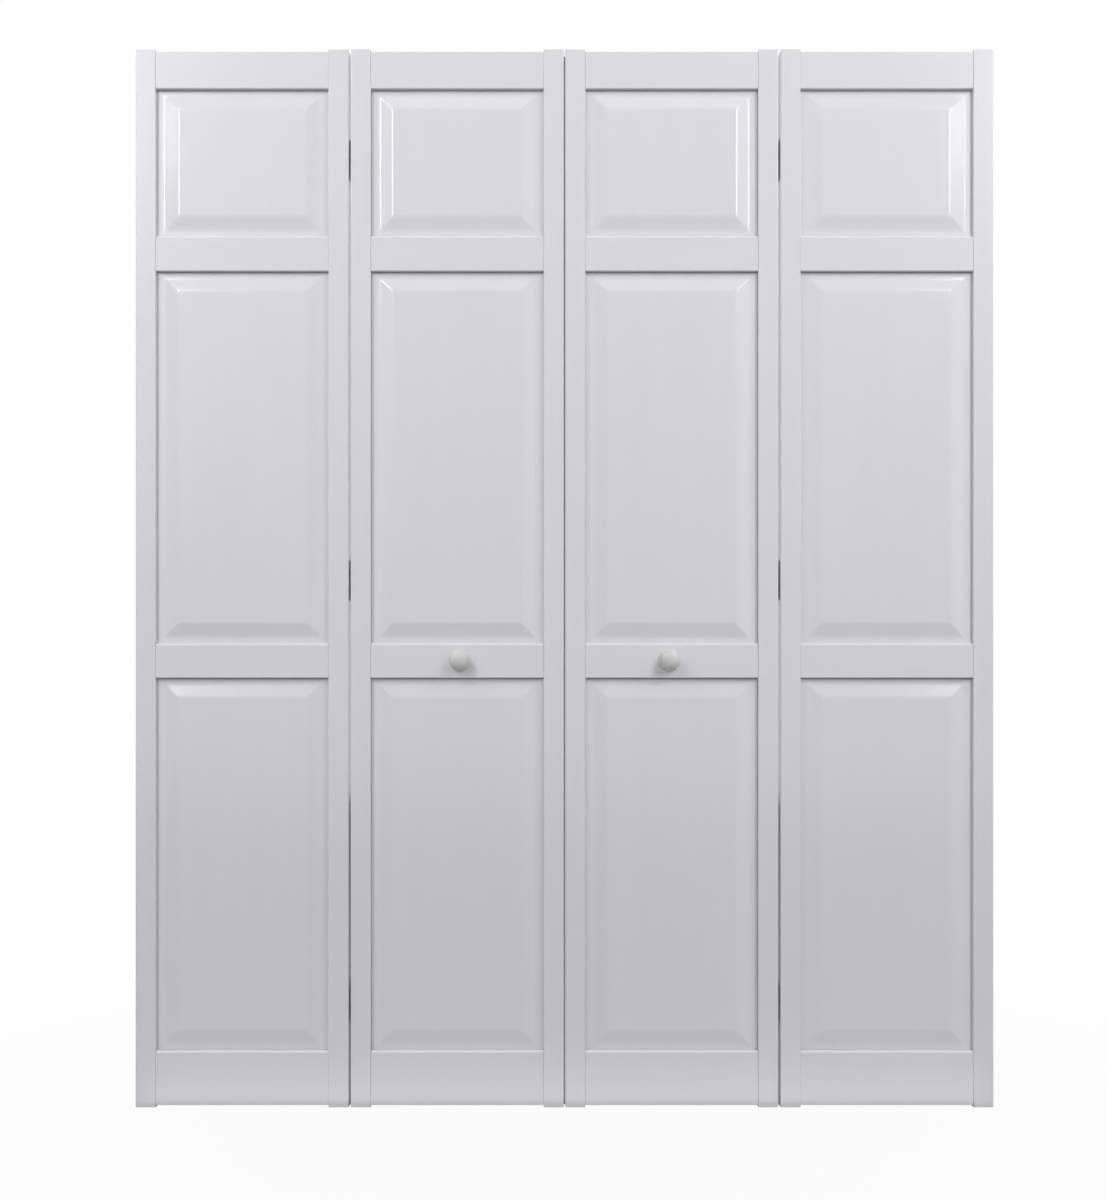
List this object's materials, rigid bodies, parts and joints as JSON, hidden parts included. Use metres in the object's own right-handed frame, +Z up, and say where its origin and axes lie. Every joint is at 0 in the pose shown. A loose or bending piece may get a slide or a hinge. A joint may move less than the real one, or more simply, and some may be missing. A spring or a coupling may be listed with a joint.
{
  "type": "bifold closet door",
  "caption": "White raised-panel bifold closet door whose hinged leaves fold out into the room on corner pivots, with a round pull knob on each lead leaf.",
  "frame": {"origin": "under the meeting edges of the two pairs, halfway through the leaves' thickness, level with the stiles' lower ends", "axes": "+Z up along the leaves, +Y from the room into the closet, so that the knobs face -Y, and +X along the opening to the right as seen from the room"},
  "size_m": [1.6226, 0.0654, 2],
  "materials": {
    "vinyl_frame": "satin white vinyl with a faint embossed grain",
    "vinyl_panel": "satin white moulded vinyl with a faint upright grain",
    "knob_plastic": "smooth warm white",
    "zinc_steel": "bright zinc plate"
  },
  "bodies": {
    "building_pivots": {"left_bottom_pivot_pin": "zinc_steel", "right_bottom_pivot_pin": "zinc_steel"},
    "left_outer_leaf": {"left_outer_pivot_stile": "vinyl_frame", "left_outer_fold_stile": "vinyl_frame", "left_outer_bottom_rail": "vinyl_frame", "left_outer_lock_rail": "vinyl_frame", "left_outer_upper_rail": "vinyl_frame", "left_outer_top_rail": "vinyl_frame", "left_outer_bottom_panel": "vinyl_panel", "left_outer_middle_panel": "vinyl_panel", "left_outer_top_panel": "vinyl_panel", "left_outer_lower_hinge_plate": "zinc_steel", "left_outer_middle_hinge_plate": "zinc_steel", "left_outer_upper_hinge_plate": "zinc_steel"},
    "left_inner_leaf": {"left_inner_lead_stile": "vinyl_frame", "left_inner_fold_stile": "vinyl_frame", "left_inner_bottom_rail": "vinyl_frame", "left_inner_lock_rail": "vinyl_frame", "left_inner_upper_rail": "vinyl_frame", "left_inner_top_rail": "vinyl_frame", "left_inner_bottom_panel": "vinyl_panel", "left_inner_middle_panel": "vinyl_panel", "left_inner_top_panel": "vinyl_panel", "left_inner_lower_hinge_plate": "zinc_steel", "left_inner_middle_hinge_plate": "zinc_steel", "left_inner_upper_hinge_plate": "zinc_steel", "left_knob": "knob_plastic", "left_knob_screw": "zinc_steel"},
    "left_top_pivot_pin": {"left_top_pivot_pin": "zinc_steel"},
    "left_guide_pin": {"left_guide_pin": "zinc_steel"},
    "right_outer_leaf": {"right_outer_pivot_stile": "vinyl_frame", "right_outer_fold_stile": "vinyl_frame", "right_outer_bottom_rail": "vinyl_frame", "right_outer_lock_rail": "vinyl_frame", "right_outer_upper_rail": "vinyl_frame", "right_outer_top_rail": "vinyl_frame", "right_outer_bottom_panel": "vinyl_panel", "right_outer_middle_panel": "vinyl_panel", "right_outer_top_panel": "vinyl_panel", "right_outer_lower_hinge_plate": "zinc_steel", "right_outer_middle_hinge_plate": "zinc_steel", "right_outer_upper_hinge_plate": "zinc_steel"},
    "right_inner_leaf": {"right_inner_lead_stile": "vinyl_frame", "right_inner_fold_stile": "vinyl_frame", "right_inner_bottom_rail": "vinyl_frame", "right_inner_lock_rail": "vinyl_frame", "right_inner_upper_rail": "vinyl_frame", "right_inner_top_rail": "vinyl_frame", "right_inner_bottom_panel": "vinyl_panel", "right_inner_middle_panel": "vinyl_panel", "right_inner_top_panel": "vinyl_panel", "right_inner_lower_hinge_plate": "zinc_steel", "right_inner_middle_hinge_plate": "zinc_steel", "right_inner_upper_hinge_plate": "zinc_steel", "right_knob": "knob_plastic", "right_knob_screw": "zinc_steel"},
    "right_top_pivot_pin": {"right_top_pivot_pin": "zinc_steel"},
    "right_guide_pin": {"right_guide_pin": "zinc_steel"}
  },
  "joints": [
    {"name": "left_pivot", "type": "hinge", "parent": "building_pivots", "child": "left_outer_leaf", "pos_m": [-0.7923, 0, 0], "axis": [0, 0, -1], "range_deg": [0, 86]},
    {"name": "left_fold", "type": "hinge", "parent": "left_outer_leaf", "child": "left_inner_leaf", "pos_m": [-0.4064, 0.0173, 0], "axis": [0, 0, 1], "range_deg": [0, 172]},
    {"name": "left_top_pivot_pin_slide", "type": "slide", "parent": "left_outer_leaf", "child": "left_top_pivot_pin", "axis": [0, 0, 1], "range_m": [0, 0.012], "stiffness_N_per_m": 250, "springref_m": 0.02},
    {"name": "left_guide_pin_slide", "type": "slide", "parent": "left_inner_leaf", "child": "left_guide_pin", "axis": [0, 0, 1], "range_m": [0, 0.012], "stiffness_N_per_m": 250, "springref_m": 0.02},
    {"name": "right_pivot", "type": "hinge", "parent": "building_pivots", "child": "right_outer_leaf", "pos_m": [0.7923, 0, 0], "axis": [0, 0, 1], "range_deg": [0, 86]},
    {"name": "right_fold", "type": "hinge", "parent": "right_outer_leaf", "child": "right_inner_leaf", "pos_m": [0.4064, 0.0173, 0], "axis": [0, 0, -1], "range_deg": [0, 172]},
    {"name": "right_top_pivot_pin_slide", "type": "slide", "parent": "right_outer_leaf", "child": "right_top_pivot_pin", "axis": [0, 0, 1], "range_m": [0, 0.012], "stiffness_N_per_m": 250, "springref_m": 0.02},
    {"name": "right_guide_pin_slide", "type": "slide", "parent": "right_inner_leaf", "child": "right_guide_pin", "axis": [0, 0, 1], "range_m": [0, 0.012], "stiffness_N_per_m": 250, "springref_m": 0.02}
  ],
  "couplings": [
    {"joint": "left_fold", "follows": "left_pivot", "ratio": 2},
    {"joint": "right_fold", "follows": "right_pivot", "ratio": 2}
  ]
}
